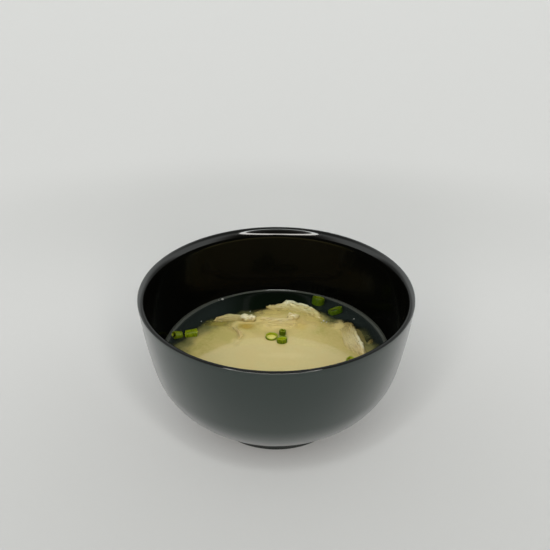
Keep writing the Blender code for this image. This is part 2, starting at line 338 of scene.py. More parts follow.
# %% The wall's two faces, from the rim down
def run_down(radius, height, lean, bends):
    """Points (radius, height, lean) along a wall that goes down and inwards in tangent arcs."""
    points = [(radius, height, lean)]
    for turn, length in bends:
        for _ in range(BEND_STEPS):
            lean += turn / BEND_STEPS / 2
            radius -= math.sin(lean) * length / BEND_STEPS
            height -= math.cos(lean) * length / BEND_STEPS
            lean += turn / BEND_STEPS / 2
            points.append((radius, height, lean))
    return points


outer_wall = run_down(RIM_RADIUS, BOWL_HEIGHT - LIP_EDGE_RADIUS, RIM_LEAN, OUTER_BENDS)


def inner_wall(top, tuck=0.0):
    """(radius, height) points of the inner face from this height down, moved into the wall by a tuck."""
    lowest = outer_wall[-1][1]
    inside = []
    for radius, height, lean in outer_wall:
        depth = (BOWL_HEIGHT - height) / (BOWL_HEIGHT - lowest)
        at_rim = (WALL_AT_RIM - WALL) * (1 - depth) ** RIM_FALL
        at_foot = (WALL_AT_FOOT - WALL) * depth**2
        wall = WALL + at_rim + at_foot - tuck
        inside.append((radius - wall * math.cos(lean), height + wall * math.sin(lean), lean))
    inside += run_down(*inside[-1], [FLOOR_BEND])[1:]
    return [(radius, height) for radius, height, lean in inside if height < top]


# %% The lip, the foot ring and the closed profile
def quarter(radius, height, width, rise, steps):
    """A quarter oval that starts upright at this point and ends level, this much further out and up."""
    turns = [math.radians(90) * i / steps for i in range(steps + 1)]
    return [(radius + width * (1 - math.cos(turn)), height + rise * math.sin(turn)) for turn in turns]


inside = inner_wall(BOWL_HEIGHT - LIP_FLARE_HEIGHT)
flare_width = RIM_RADIUS - LIP_EDGE_RADIUS - inside[0][0]
flare = quarter(*inside[0], flare_width, BOWL_HEIGHT - inside[0][1], steps=14)
edge = quarter(RIM_RADIUS, BOWL_HEIGHT - LIP_EDGE_RADIUS, -LIP_EDGE_RADIUS, LIP_EDGE_RADIUS, steps=6)
foot_inside = FOOT_RADIUS - FOOT_WIDTH
foot = [
    *quarter(FOOT_RADIUS, FOOT_EDGE, -FOOT_EDGE, -FOOT_EDGE, steps=4),
    *quarter(foot_inside, FOOT_EDGE, FOOT_EDGE, -FOOT_EDGE, steps=4)[::-1],
    *quarter(foot_inside - FOOT_EDGE, FOOT_HOLLOW - FOOT_EDGE, -FOOT_EDGE, FOOT_EDGE, steps=4),
    (0.0, FOOT_HOLLOW),
]
floor_centre = (0.0, inside[-1][1])
outside = [(radius, height) for radius, height, lean in outer_wall]
bowl_profile = [floor_centre] + inside[::-1] + flare[1:] + edge[::-1][1:] + outside[1:] + foot
print(f"{len(bowl_profile)} points; the inner floor is {floor_centre[1] / MM:.1f} mm up")

# %% [markdown]
# ## The colour of cloudy broth
# Broth scatters light: a white thing that sinks takes the broth's colour, sooner where the broth is
# milky and later where it is clear. The milky part lies in the middle and towards the eater, over the
# noodles, and the rest is clear and lets the black bowl show. Every finish below needs that colour,
# so it is a function: it adds the same nodes to any material.

# %% The broth's veil, from where a point is
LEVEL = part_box("broth")[1].z
CLOUD_CENTRE = (-0.3 * MM, -7.2 * MM)
CLOUD_HALF = (43.4 * MM, 34.8 * MM)
MEAT_CENTRE = (6.0 * MM, 18.5 * MM)
MEAT_HALF = (19.5 * MM, 14.6 * MM)
CLOUD_REACH = 1.6
MILKY = (0.536, 0.440, 0.170)
MILKY_DEEP = (0.390, 0.335, 0.098)
OLIVE = (0.130, 0.130, 0.045)
CLEAR_DARK = (0.0025, 0.0050, 0.0025)
AMBER = (0.93, 0.80, 0.42)
AMBER_DEPTH = 1.5 * MM
MILKY_STEP = (1.15, 0.80)
WISP_SIZE = 11 * MM
WISP_DEPTH = 0.28
OVALS_MELT = 0.15
VEIL_STOPS = [
    (0.0, MILKY),
    (0.50 / CLOUD_REACH, MILKY),
    (0.88 / CLOUD_REACH, MILKY_DEEP),
    (1.04 / CLOUD_REACH, OLIVE),
    (1.18 / CLOUD_REACH, CLEAR_DARK),
]


def oval(nodes, middle, half):
    """0 in the middle of an oval, 1 on its edge and more outside."""
    x, y, z = nodes.split(nodes.place())
    right = (x - middle[0]) / half[0]
    back = (y - middle[1]) / half[1]
    return (right * right + back * back) ** 0.5


def cloud_distance(nodes):
    """0 in the middle of the milky part, about 1 at its edge and more outside, with uneven wisps."""
    cloud = oval(nodes, CLOUD_CENTRE, CLOUD_HALF)
    meat = oval(nodes, MEAT_CENTRE, MEAT_HALF)
    nearer = nodes.add("ShaderNodeMath", {"operation": "SMOOTH_MIN"}, {0: cloud, 1: meat, 2: OVALS_MELT})
    return nearer + (nodes.clouds(WISP_SIZE, detail=3.0) - 0.5) * WISP_DEPTH


def veil(nodes, distance):
    """The colour that the broth gives to what is deep in it."""
    return nodes.ramp(distance / CLOUD_REACH, VEIL_STOPS)


def under_broth(finish, own_colour, milky_depth, clear_depth, film=0.0):
    """A colour that first turns amber with depth and then goes over into the veil, faster in the milky
    part. A film of broth above the level starts the depth that much higher."""
    x, y, z = finish.split(finish.place())
    depth = finish.larger(LEVEL + film - z, 0.0)
    distance = cloud_distance(finish)
    reach = between(finish.smooth(distance, *MILKY_STEP), clear_depth, milky_depth)
    lost = 1 - math.e ** (depth / reach * -1.0)
    yellowed = 1 - math.e ** (depth / AMBER_DEPTH * -1.0)
    multiply = {"data_type": "RGBA", "blend_type": "MULTIPLY"}
    colours = {0: yellowed, 6: rgba(own_colour), 7: rgba(AMBER)}
    tinted = finish.add("ShaderNodeMix", multiply, colours, out=2)
    return finish.blend(lost, tinted, veil(finish, distance))


print(f"the soup stands {LEVEL / MM:.1f} mm above the table")

# %% [markdown]
# ## Lacquer
# The outside is satin: a fine orange-peel grain spreads the reflections of the bright room into soft
# bands, and handling has left it a little uneven. So it has two layers, a rough ground under a smoother
# coat, and the polished foot has one. Both could be one glossy black, but then they would look alike.

# %% The lacquer of the outside and of the foot
OUTSIDE_BLACK = (0.0030, 0.0085, 0.0065)
OUTSIDE_WORN = (0.0055, 0.0120, 0.0095)
FOOT_BLACK = (0.0015, 0.0016, 0.0012)
satin = Finish("satin_lacquer", {"IOR": 1.38, "Coat Weight": 1.0, "Coat IOR": 1.38, "Coat Roughness": 0.20})
handled = satin.clouds(26 * MM, detail=4.0, stretch=(1, 1, 1.6))
satin.set({
    "Base Color": satin.blend(handled, OUTSIDE_BLACK, OUTSIDE_WORN),
    "Roughness": 0.26 + satin.clouds(9 * MM, detail=5.0) * 0.10,
})
satin.bump(satin.clouds(0.5 * MM, detail=2.0), 0.012 * MM)

foot_shine = Finish("foot_lacquer", {"IOR": 1.5})
foot_shine.set({
    "Base Color": foot_shine.blend(foot_shine.clouds(12 * MM), FOOT_BLACK, OUTSIDE_BLACK),
    "Roughness": 0.16 + foot_shine.clouds(3 * MM, detail=4.0) * 0.12,
})
print(f"lacquers: {satin.material.name}, {foot_shine.material.name}")

# %% [markdown]
# ### The polished inside
# The inside mirrors what is round it and stays black. Its coat is full only on the flared lip, in a band
# that is widest at the far side and narrows towards the eater, where the wall turns away from the light.
# Further down the wall reflects little but itself, so its coat is thin. Just over the soup a film of
# broth clings to the wall at both sides. All of it follows from where a point lies, so no mask is drawn.

# %% The lacquer of the inside
INSIDE_BLACK = (0.0012, 0.0012, 0.0009)
WALL_SHINE = 0.06
LIP_SHINE = 0.88
LIP_SOFT = (-1.0 * MM, 0.2 * MM)
LIP_SIDES = (36 * MM, 56 * MM)
LIP_FRONT = (5 * MM, -35 * MM)
BAND_AT_BACK = 4.2 * MM
BAND_AT_SIDES = 2.0 * MM
BAND_AT_FRONT = 0.2 * MM
BAND_SOFT = 0.5 * MM
RIM_FILM = (0.048, 0.051, 0.043)
FILM_RISE = 0.03
FILM_TOP = (0.2 * MM, -0.1 * MM)
FILM_SIDES = (20 * MM, 36 * MM)
FILM_FOOT = 0.3 * MM
polished = Finish("polished_lacquer", {"Specular IOR Level": 0.05, "Coat IOR": 1.5, "Coat Roughness": 0.035})
wall_x, wall_y, wall_z = polished.split(polished.place())
from_side = abs(wall_x)
over_flare = wall_z - (BOWL_HEIGHT - LIP_FLARE_HEIGHT)
from_rim = RIM_RADIUS - (wall_x * wall_x + wall_y * wall_y) ** 0.5
band = between(polished.smooth(from_side, *LIP_SIDES), BAND_AT_BACK, BAND_AT_SIDES)
band = between(polished.smooth(wall_y, *LIP_FRONT), band, BAND_AT_FRONT)
bright = polished.smooth(over_flare, *LIP_SOFT) * polished.smooth(from_rim - band, BAND_SOFT, -BAND_SOFT)
wet = polished.smooth(wall_z - LEVEL - from_side * FILM_RISE, *FILM_TOP)
wet = wet * polished.smooth(from_side, *FILM_SIDES) * polished.smooth(wall_z, LEVEL - FILM_FOOT, LEVEL)
polished.set({
    "Base Color": polished.blend(wet, under_broth(polished, INSIDE_BLACK, 5 * MM, 30 * MM), RIM_FILM),
    "Coat Weight": between(bright, WALL_SHINE, LIP_SHINE),
    "Roughness": 0.10 + polished.clouds(14 * MM, detail=4.0) * 0.15,
})
polished.bump(polished.clouds(9 * MM, detail=1.0), 0.02 * MM)
print(f"the lip's bright band is up to {BAND_AT_BACK / MM:.1f} mm wide")

# %% [markdown]
# ### The bowl itself
# The real bowl is turned on a lathe or moulded in one, and one spin of the profile makes it here, with no
# seam between wall, lip and foot. Each face is then given one of the three lacquers by where it lies and
# which way it looks, which is simpler than three meshes that would have to meet.

# %% The bowl
bowl_bm = turned(bowl_profile, SPIN_STEPS)
POLISHED_FACE = 1
FOOT_FACE = 2
LOOKS_UP = 0.5
for face in bowl_bm.faces:
    centre = face.calc_center_median()
    outwards = Vector((centre.x, centre.y, 0.0)).normalized()
    if centre.z < outer_wall[-1][1]:
        face.material_index = FOOT_FACE
    elif face.normal.dot(outwards) < 0 or face.normal.z > LOOKS_UP:
        face.material_index = POLISHED_FACE
lacquers = [satin, polished, foot_shine]
bowl = piece("lacquer_bowl", mesh_from("lacquer_bowl", bowl_bm), lacquers, ["bowl"])

# %% [markdown]
# ## Torn chicken
# Poached breast is pulled apart along its fibres, so each piece is a bundle of pale threads with ragged
# ends. The solids give its form. A copy is remeshed into an even net and its facets are smoothed away.
# Then ridges are pushed up along the piece's own length: its long axis is found from its points, and a
# gentle curve through them follows the pieces that bend. Loose threads are laid over the top.


# %% The grain of a strip: how far along it and across it each point is
class Grain:
    """The run of the fibres in a piece: a long axis in the plane, and the piece's middle line along it."""

    def __init__(self, points):
        flat = points[:, :2]
        self.centre = flat.mean(0)
        self.axis = np.linalg.svd(flat - self.centre, full_matrices=False)[2][0]
        self.side = np.array((-self.axis[1], self.axis[0]))
        along = (flat - self.centre) @ self.axis
        self.start, self.end = along.min(), along.max()
        self.middle = np.polyfit(along, (flat - self.centre) @ self.side, 3)
        self.half_width = np.percentile(abs(self.across(flat)), 90)

    def along(self, flat):
        return (flat - self.centre) @ self.axis

    def across(self, flat):
        return (flat - self.centre) @ self.side - np.polyval(self.middle, self.along(flat))

    def spot(self, along, across):
        """The (x, y) that lies this far along and across."""
        return self.centre + self.axis * along + self.side * (np.polyval(self.middle, along) + across)


# %% An even skin with fibres
SKIN_STEP = 0.26 * MM
MELTING_PASSES = 4
FIBRE_RUN = 9.0 * MM
FIBRE_WIDTH = 1.5 * MM
FIBRE_DEPTH = 0.28 * MM
RIDGE_SHARPNESS = 2.6
FINE_SCALE = 2.3
FINE_SHARE = 0.35
CRUMPLE_SIZE = 1.15 * MM
CRUMPLE_DEPTH = 0.34 * MM
CRUMPLE_RISE = 1.5 * MM
SPREAD = 0.15
SPREAD_SIZE = 3 * MM


def copy_of(node):
    """A bmesh of a solid, its loose triangles merged into a closed skin."""
    bm = bmesh.new()
    bm.from_mesh(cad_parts[node].data)
    bmesh.ops.remove_doubles(bm, verts=bm.verts, dist=SAME_POINT)
    return bm


def even_skin(bm):
    """A shape's skin as an even net, with its facets melted away."""
    mesh = with_modifier(mesh_from("meat", bm), "REMESH", {"mode": "VOXEL", "voxel_size": SKIN_STEP})
    bm = bmesh.new()
    bm.from_mesh(mesh)
    every_way = {"use_axis_x": True, "use_axis_y": True, "use_axis_z": True}
    for _ in range(MELTING_PASSES):
        bmesh.ops.smooth_vert(bm, verts=bm.verts, factor=0.5, **every_way)
    return bm


def raise_fibres(bm, grain, seed):
    """Pushes ridges out along the grain, crumples what stands out, and spreads what is under the level."""
    shift = Vector((seed * 7.3, seed * 3.1, 0))
    bm.normal_update()
    ridges = []
    moves = []
    for vert in bm.verts:
        flat = np.array(vert.co.xy)
        along = grain.along(flat)
        across = grain.across(flat)
        lane = Vector((along / FIBRE_RUN, across / FIBRE_WIDTH, vert.co.z / FIBRE_WIDTH))
        coarse = 1 - RIDGE_SHARPNESS * abs(noise.noise(lane + shift))
        fine = 1 - RIDGE_SHARPNESS * abs(noise.noise(lane * FINE_SCALE - shift))
        ridge = coarse * (1 - FINE_SHARE) + fine * FINE_SHARE
        crumple = noise.noise(vert.co / CRUMPLE_SIZE + shift)
        above = min(max((vert.co.z - LEVEL) / CRUMPLE_RISE, 0), 1)
        sideways = Vector((vert.normal.x, vert.normal.y, 0.0)) * max(LEVEL - vert.co.z, 0.0)
        relief = vert.normal * (FIBRE_DEPTH * ridge + CRUMPLE_DEPTH * crumple * (0.6 + above))
        moves.append(relief + sideways * SPREAD * (1 + noise.noise(vert.co / SPREAD_SIZE - shift)))
        ridges.append(0.5 + 0.35 * ridge + 0.4 * crumple * above)
    for vert, move in zip(bm.verts, moves):
        vert.co += move
    return ridges


print(f"a fibre is about {FIBRE_WIDTH / MM} mm wide")

# %% [markdown]
# ## Threads and noodles
# A thread of meat and a noodle are the same thing to a modeller: a small ring of edges that is extruded
# from place to place and turned with its path, then closed at both ends. A short helper does it with
# the extrude and transform operators.


# %% A tube along a path
def tube(path, radii, sides):
    """A closed bmesh tube: a circle extruded along a path, as thick at each place as its radius says."""
    bm = bmesh.new()
    bmesh.ops.create_circle(bm, segments=sides, radius=1.0)
    rim = list(bm.edges)
    verts = list(bm.verts)
    heading = Vector((0, 0, 1))
    turn = Matrix.Identity(3)
    last = Matrix.Identity(4)
    for i, (place, radius) in enumerate(zip(path, radii)):
        ahead = path[min(i + 1, len(path) - 1)] - path[max(i - 1, 0)]
        turn = heading.rotation_difference(ahead).to_matrix() @ turn
        heading = ahead
        here = Matrix.Translation(place) @ turn.to_4x4() @ Matrix.Scale(radius, 4)
        if i > 0:
            grown = bmesh.ops.extrude_edge_only(bm, edges=rim)["geom"]
            verts = [item for item in grown if isinstance(item, bmesh.types.BMVert)]
            edges = [item for item in grown if isinstance(item, bmesh.types.BMEdge)]
            rim = [edge for edge in edges if all(vert in verts for vert in edge.verts)]
        bmesh.ops.transform(bm, matrix=here @ last.inverted(), verts=verts)
        last = here
    bmesh.ops.holes_fill(bm, edges=bm.edges, sides=0)
    bmesh.ops.recalc_face_normals(bm, faces=bm.faces)
    return bm


def joined(shapes):
    """One bmesh of many."""
    together = bmesh.new()
    for bm in shapes:
        part = mesh_from("part", bm)
        together.from_mesh(part)
        bpy.data.meshes.remove(part)
    return together


print("threads and noodles have a tube to start from")

# %% [markdown]
# ### Loose threads
# Where meat is torn, single fibres come away, lie over the piece and stick out at its ends. They could be
# hair curves, but real tubes keep their form in any program. Each follows the piece's grain, and a ray
# from above finds the height at which it lies.

# %% Loose threads over a piece of meat
THREAD_STEP = 1.3 * MM
THREAD_RADIUS = 0.28 * MM
THREAD_LENGTHS = (0.35, 0.9)
THREAD_THICKNESS = (0.6, 1.2)
THREAD_SPREAD = 0.95
THREAD_SAG = 0.2 * MM
WOBBLE = 0.7 * MM
WOBBLE_RUN = 4 * MM
HIGH_ABOVE = 20 * MM


def loose_threads(skin, grain, count, seed, overhang):
    """Threads that lie on a piece along its grain, and run past its ends by up to an overhang."""
    draw = random.Random(seed)
    tree = BVHTree.FromBMesh(skin)
    threads = []
    for _ in range(count):
        across = draw.uniform(-THREAD_SPREAD, THREAD_SPREAD) * grain.half_width
        length = draw.uniform(*THREAD_LENGTHS) * (grain.end - grain.start)
        start = draw.uniform(grain.start - overhang, grain.end + overhang - length)
        path = []
        height = None
        for i in range(max(int(length / THREAD_STEP), 3)):
            along = start + i * THREAD_STEP
            wobble = noise.noise(Vector((along / WOBBLE_RUN, across / MM, seed))) * WOBBLE
            x, y = grain.spot(along, across + wobble)
            hit = tree.ray_cast(Vector((x, y, LEVEL + HIGH_ABOVE)), DOWN)[0]
            if hit:
                height = hit.z + 0.5 * THREAD_RADIUS
            elif height is not None:
                height -= THREAD_SAG
            if height is not None:
                path.append(Vector((x, y, height)))
        if len(path) > 3:
            reach = len(path) - 1
            thick = THREAD_RADIUS * draw.uniform(*THREAD_THICKNESS)
            radii = [thick * (0.35 + 0.65 * math.sin(math.pi * i / reach)) for i in range(reach + 1)]
            threads.append(tube(path, radii, sides=5))
    return threads


print(f"a thread is about {2 * THREAD_RADIUS / MM:.1f} mm thick")

# %% [markdown]
# ### The finish of poached chicken
# The ridges are cream and the furrows between them a pale tan; the tan is partly the meat's own tone and
# partly a painted shade in the furrows. Some patches keep a little pink. What stands highest is white and
# fluffy, and that white is also a painted highlight. What is just above the soup is damp and more ochre,
# and that ochre is also a painted shade on the lower side. The meat is wet, so it shines softly, and light
# enters a little way and comes out again. Below the level the broth's veil takes the colour over. Height
# decides all of that, so one function serves every piece.

# %% The chicken's finish
CREAM = (0.60, 0.490, 0.230)
# The white of the highest fibres is partly a painted highlight, and the ochre just above the level is partly
# a painted shade.
FLUFF_AND_HIGHLIGHT = (0.70, 0.64, 0.42)
DAMP_AND_SHADE_OCHRE = (0.46, 0.35, 0.115)
DAMP_CREAM = (0.50, 0.43, 0.195)
# The far piece's colours are a darker copy of the meat's: a painted shade.
SHADED_FAR_CREAM = (0.53, 0.475, 0.225)
SHADED_FAR_FLUFF_AND_HIGHLIGHT = (0.54, 0.52, 0.335)
# The furrows' tan is partly the meat's own tone and partly a painted shade in the furrows.
TAN = (0.42, 0.31, 0.115)
PINK = (0.54, 0.37, 0.17)
WET_FILM = 1.0 * MM
SOAKED_FILM = 3.5 * MM
DAMP_AND_SHADE_HEIGHTS = (LEVEL + 1.4 * MM, LEVEL + 0.3 * MM)
FLUFF_AND_HIGHLIGHT_HEIGHTS = (LEVEL + 1.5 * MM, LEVEL + 2.3 * MM)
SUNK_HEIGHTS = (LEVEL, LEVEL - 0.4 * MM)
MEAT_MILKY_DEPTH = 1.9 * MM
MEAT_CLEAR_DEPTH = 3.0 * MM
MEAT_CONSTANTS = {
    "IOR": 1.38,
    "Subsurface Weight": 0.12,
    "Subsurface Scale": 1.2 * MM,
    "Subsurface Radius": (1.0, 0.7, 0.4),
    "Coat Roughness": 0.09,
    "Coat IOR": 1.36,
}


def meat_finish(name, furrow, crest, film=WET_FILM, damp_and_shade=0.0, fluff_and_highlight_colour=FLUFF_AND_HIGHLIGHT):
    """Fibres that go from the furrow's colour, partly a painted shade, to the crest's, with a wet ochre foot
    that is partly a painted shade, and a white top that is partly a painted highlight.
    """
    finish = Finish(name, MEAT_CONSTANTS)
    grain = finish.kept("ridge") + (finish.clouds(2.2 * MM, detail=3.0) - 0.5) * 0.7
    # Dark furrows against light crests: partly fibre tone, partly painted shade in the furrows.
    meat = finish.blend(finish.smooth(grain, 0.15, 0.85), furrow, crest)
    rosy = finish.smooth(finish.clouds(8 * MM, detail=2.0), 0.50, 0.70) * 0.35
    meat = finish.blend(rosy, meat, PINK)
    x, y, z = finish.split(finish.place())
    # Ochre just above the level: damp meat, and also a painted shade on the lower side.
    meat = finish.blend(finish.smooth(z, *DAMP_AND_SHADE_HEIGHTS) * damp_and_shade, meat, DAMP_AND_SHADE_OCHRE)
    # White on the highest fibres: fluff, and also a painted highlight.
    fluff_and_highlight_share = finish.smooth(z, *FLUFF_AND_HIGHLIGHT_HEIGHTS) * finish.smooth(grain, -0.2, 0.7)
    meat = finish.blend(fluff_and_highlight_share, meat, fluff_and_highlight_colour)
    under = finish.smooth(z, *SUNK_HEIGHTS)
    finish.set({
        "Base Color": under_broth(finish, meat, MEAT_MILKY_DEPTH, MEAT_CLEAR_DEPTH, film),
        "Roughness": 0.34 + finish.clouds(1.2 * MM) * 0.2 + under * 0.4,
        "Coat Weight": 0.8 - under * 0.8,
    })
    finish.bump(finish.clouds(0.5 * MM, detail=3.0), 0.07 * MM)
    return finish


poached = meat_finish("poached_chicken", TAN, CREAM)
soaked = meat_finish("soaked_chicken", TAN, CREAM, film=SOAKED_FILM)
damp_and_shade = meat_finish("damp_chicken", TAN, DAMP_CREAM, damp_and_shade=0.6)
# The far piece takes a darker copy of the chicken finish, a painted shade.
shaded_far_meat = meat_finish("shaded_far_chicken", TAN, SHADED_FAR_CREAM, damp_and_shade=0.6, fluff_and_highlight_colour=SHADED_FAR_FLUFF_AND_HIGHLIGHT)
print("meat:", ", ".join(finish.material.name for finish in (poached, soaked, damp_and_shade, shaded_far_meat)))

# %% [markdown]
# ### The pieces that break the surface
# Six pieces stand out of the soup, and each keeps the form of its solid. The big bundle at the right
# shows the most loose threads, the small ones few. Each takes the finish that fits its place: the far
# piece is a darker copy of the meat, which is painted shade, the left one is damp, and the flake by the
# bundle is almost under.

# %% The pieces of chicken: the number of loose threads, and the finish
CHICKEN = {
    "chicken_left": (12, damp_and_shade),
    "chicken_curl": (3, poached),
    "chicken_middle": (12, poached),
    "chicken_back": (20, shaded_far_meat),
    "chicken_right": (40, poached),
    "chicken_flake": (5, soaked),
}
THREAD_OVERHANG = 1.2 * MM
THREAD_RIDGE = 0.9
meats = []
for seed, (node, (thread_count, finish)) in enumerate(CHICKEN.items(), start=1):
    skin = even_skin(copy_of(node))
    grain = Grain(np.array([vert.co for vert in skin.verts]))
    ridges = raise_fibres(skin, grain, seed)
    threads = joined(loose_threads(skin, grain, thread_count, seed, THREAD_OVERHANG))
    ridges += [THREAD_RIDGE] * len(threads.verts)
    mesh = mesh_from("torn_" + node, joined([skin, threads]))
    keep(mesh, "ridge", ridges)
    meats.append(piece("torn_" + node, mesh, [finish], [node]))

# %% [markdown]
# ## Chicken under the surface
# Between the pieces that stand out, more meat lies a few millimetres down, and through the broth it
# gives the heap its ochre and pinkish patches. A scrap of skin is more yellow and fatty, and it also
# paints the shade in front of the knob of the left piece. These flakes have no solid, since the soup
# holds them. Each is a ball pulled flat, roughened and given the same fibres.

# %% Sunk flakes: middle (x, y, depth), length, width and thickness in mm, heading in degrees
SUNK_FLAKES = (
    ((-1.0, 29.6, 1.5), (16.0, 6.0, 2.2), 3),
    ((-8.5, 31.0, 1.9), (7.0, 4.0, 1.8), 20),
    ((-8.0, 25.5, 1.4), (6.0, 6.0, 2.0), 60),
    ((-8.0, 21.0, 1.2), (7.0, 5.0, 2.0), 10),
    ((-22.0, 19.5, 1.7), (9.0, 5.0, 2.2), 80),
    ((-27.0, 19.5, 2.4), (12.0, 5.0, 2.2), 0),
    ((-20.5, 16.5, 1.4), (8.0, 4.6, 2.0), -55),
    ((-17.0, 11.0, 1.3), (8.0, 4.4, 2.0), -80),
    ((-17.8, 5.8, 1.6), (8.0, 4.0, 2.0), 70),
    ((-9.5, 13.5, 2.1), (13.0, 4.6, 2.2), -50),
    ((-1.0, 13.6, 1.9), (16.0, 6.0, 2.4), 5),
    ((12.5, 22.0, 1.3), (11.0, 7.0, 2.2), 0),
    ((16.6, 24.5, 1.4), (11.0, 6.0, 2.2), -40),
    ((21.5, 20.0, 1.6), (12.0, 6.0, 2.2), -20),
    ((27.0, 19.5, 2.0), (12.0, 6.0, 2.2), -10),
    ((33.8, 18.6, 1.5), (8.0, 8.6, 2.2), 100),
    ((39.6, 11.0, 2.2), (15.0, 4.0, 2.0), 105),
)
# The skin flakes are also a painted shade in front of the left piece's knob.
SUNK_SKIN_AND_SHADE = (
    ((-14.0, 17.8, 1.3), (9.0, 5.0, 1.8), 4),
    ((-9.5, 16.2, 1.8), (6.0, 4.0, 1.6), -10),
)
FLAKE_ROUGHNESS = 0.35
FLAKE_BUMPS = 3
SKIN_AND_SHADE_FURROW = (0.40, 0.24, 0.030)
SKIN_AND_SHADE_CREST = (0.52, 0.35, 0.070)


def sunk(name, places, finish):
    """A piece made of flakes: balls that are pulled flat, turned, laid at their depth and given fibres."""
    flakes = []
    ridges = []
    for seed, (place, size, heading) in enumerate(places):
        ball = bmesh.new()
        bmesh.ops.create_icosphere(ball, subdivisions=4, radius=0.5)
        for vert in ball.verts:
            vert.co *= 1 + FLAKE_ROUGHNESS * noise.noise(vert.co * FLAKE_BUMPS + Vector(place))
        x, y, depth = place
        stretch = Matrix.Diagonal(Vector(size) * MM).to_4x4()
        turn = Matrix.Rotation(math.radians(heading), 4, "Z")
        spot = Matrix.Translation((x * MM, y * MM, LEVEL - depth * MM)) @ turn
        bmesh.ops.transform(ball, matrix=spot @ stretch, verts=ball.verts)
        ridges += raise_fibres(ball, Grain(np.array([vert.co for vert in ball.verts])), seed)
        flakes.append(ball)
    mesh = mesh_from(name, joined(flakes))
    keep(mesh, "ridge", ridges)
    return piece(name, mesh, [finish])


fatty_and_shade = meat_finish("chicken_skin_and_shade", SKIN_AND_SHADE_FURROW, SKIN_AND_SHADE_CREST)
sunk_pieces = [sunk("sunk_chicken", SUNK_FLAKES, poached), sunk("sunk_skin_and_shade", SUNK_SKIN_AND_SHADE, fatty_and_shade)]

# %% [markdown]
# ### Shreds
# Single fibres have come off the meat and float just under the surface, where they draw pale streaks
# between the pieces. Each is a tube that is thickest in its middle. It starts at a drawn place, sinks a
# little as it goes, and turns a little at every step. The draw has a fixed seed, so they never move.

# %% Shreds that float just under the surface: places and radii in mm
SHREDS = 18
SHRED_RIGHT = (-16, 16)
SHRED_BACK = (12, 29)
SHRED_TURN = 28
SHRED_BEND = 0.25
SHRED_DEPTHS = (0.5 * MM, 1.0 * MM)
SHRED_POINTS = (5, 10)
SHRED_STEP = 1.2 * MM
SHRED_FALL = 0.1 * MM
SHRED_RADII = (0.25, 0.45)
draw = random.Random(5)
shreds = []
for _ in range(SHREDS):
    x = draw.uniform(*SHRED_RIGHT) * MM
    y = draw.uniform(*SHRED_BACK) * MM
    heading = math.radians(draw.gauss(0, SHRED_TURN))
    depth = draw.uniform(*SHRED_DEPTHS)
    path = []
    for i in range(draw.randint(*SHRED_POINTS)):
        path.append(Vector((x, y, LEVEL - depth - SHRED_FALL * i)))
        heading += draw.gauss(0, SHRED_BEND)
        x += SHRED_STEP * math.cos(heading)
        y += SHRED_STEP * math.sin(heading)
    reach = len(path) - 1
    thick = draw.uniform(*SHRED_RADII) * MM
    radii = [thick * (0.3 + math.sin(math.pi * i / reach)) for i in range(reach + 1)]
    shreds.append(tube(path, radii, sides=6))
shred_mesh = mesh_from("floating_shreds", joined(shreds))
keep(shred_mesh, "ridge", [THREAD_RIDGE] * len(shred_mesh.vertices))
sunk_pieces.append(piece("floating_shreds", shred_mesh, [poached]))

# %% [markdown]
# ## Noodles
# The noodles lie in a soft heap in the middle and towards the eater. Nothing of them breaks the surface,
# and only a pale mass with a hint of strands shows through the milk. Each is a thin tube that wanders
# over the heap, bends gently and turns back where the heap ends, one layer above the other.

# %% The path of a noodle in the heap
NOODLES = 78
NOODLE_RADIUS = 0.95 * MM
NOODLE_POINTS = 34
NOODLE_STEP = 2.3 * MM
HEAP_HALF = (39.0 * MM, 31.0 * MM)
HEAP_TOP = 3.2 * MM
HEAP_EDGE = 9.0 * MM
HEAP_LAYERS = 5.0 * MM
NOODLE_CLEAR = 0.4 * MM
HILL_SIZE = 13 * MM
HILL_HEIGHT = 1.2 * MM
FIRST_BEND = 0.16
MORE_BEND = 0.07
MOST_BEND = 0.45
TURN_BACK = 0.65
floor_line = np.array(inner_wall(LEVEL)[::-1])


def heap_depth(x, y):
    """How far the top of the heap lies below the level: shallow in the middle, falling away to the edge."""
    out = math.hypot((x - CLOUD_CENTRE[0]) / HEAP_HALF[0], (y - CLOUD_CENTRE[1]) / HEAP_HALF[1])
    hills = noise.noise(Vector((x, y, 0)) / HILL_SIZE) * HILL_HEIGHT
    return HEAP_TOP + (HEAP_EDGE - HEAP_TOP) * min(out, 1.2) ** 3 + hills


def noodle(draw, layer):
    """The path of one noodle, at this depth in the heap."""
    angle = draw.uniform(0, math.tau)
    out = math.sqrt(draw.uniform(0, 0.7))
    x = CLOUD_CENTRE[0] + HEAP_HALF[0] * out * math.cos(angle)
    y = CLOUD_CENTRE[1] + HEAP_HALF[1] * out * math.sin(angle)
    heading = draw.uniform(0, math.tau)
    bend = draw.uniform(-FIRST_BEND, FIRST_BEND)
    path = []
    for i in range(NOODLE_POINTS):
        floor_height = np.interp(math.hypot(x, y) + NOODLE_RADIUS, floor_line[:, 0], floor_line[:, 1])
        lowest = floor_height + NOODLE_RADIUS + NOODLE_CLEAR
        path.append(Vector((x, y, max(LEVEL - heap_depth(x, y) - NOODLE_RADIUS - layer, lowest))))
        bend += draw.uniform(-MORE_BEND, MORE_BEND)
        to_middle = Vector((CLOUD_CENTRE[0] - x, CLOUD_CENTRE[1] - y))
        edge = math.hypot(to_middle.x / HEAP_HALF[0], to_middle.y / HEAP_HALF[1])
        if edge > TURN_BACK:
            aside = Vector((math.cos(heading), math.sin(heading))).angle_signed(to_middle, 0.0)
            bend = -0.6 * edge**3 * math.copysign(1, aside)
        heading += max(min(bend, MOST_BEND), -MOST_BEND)
        x += NOODLE_STEP * math.cos(heading)
        y += NOODLE_STEP * math.sin(heading)
    return path


print(f"the heap's top is {HEAP_TOP / MM:.1f} mm under the surface")

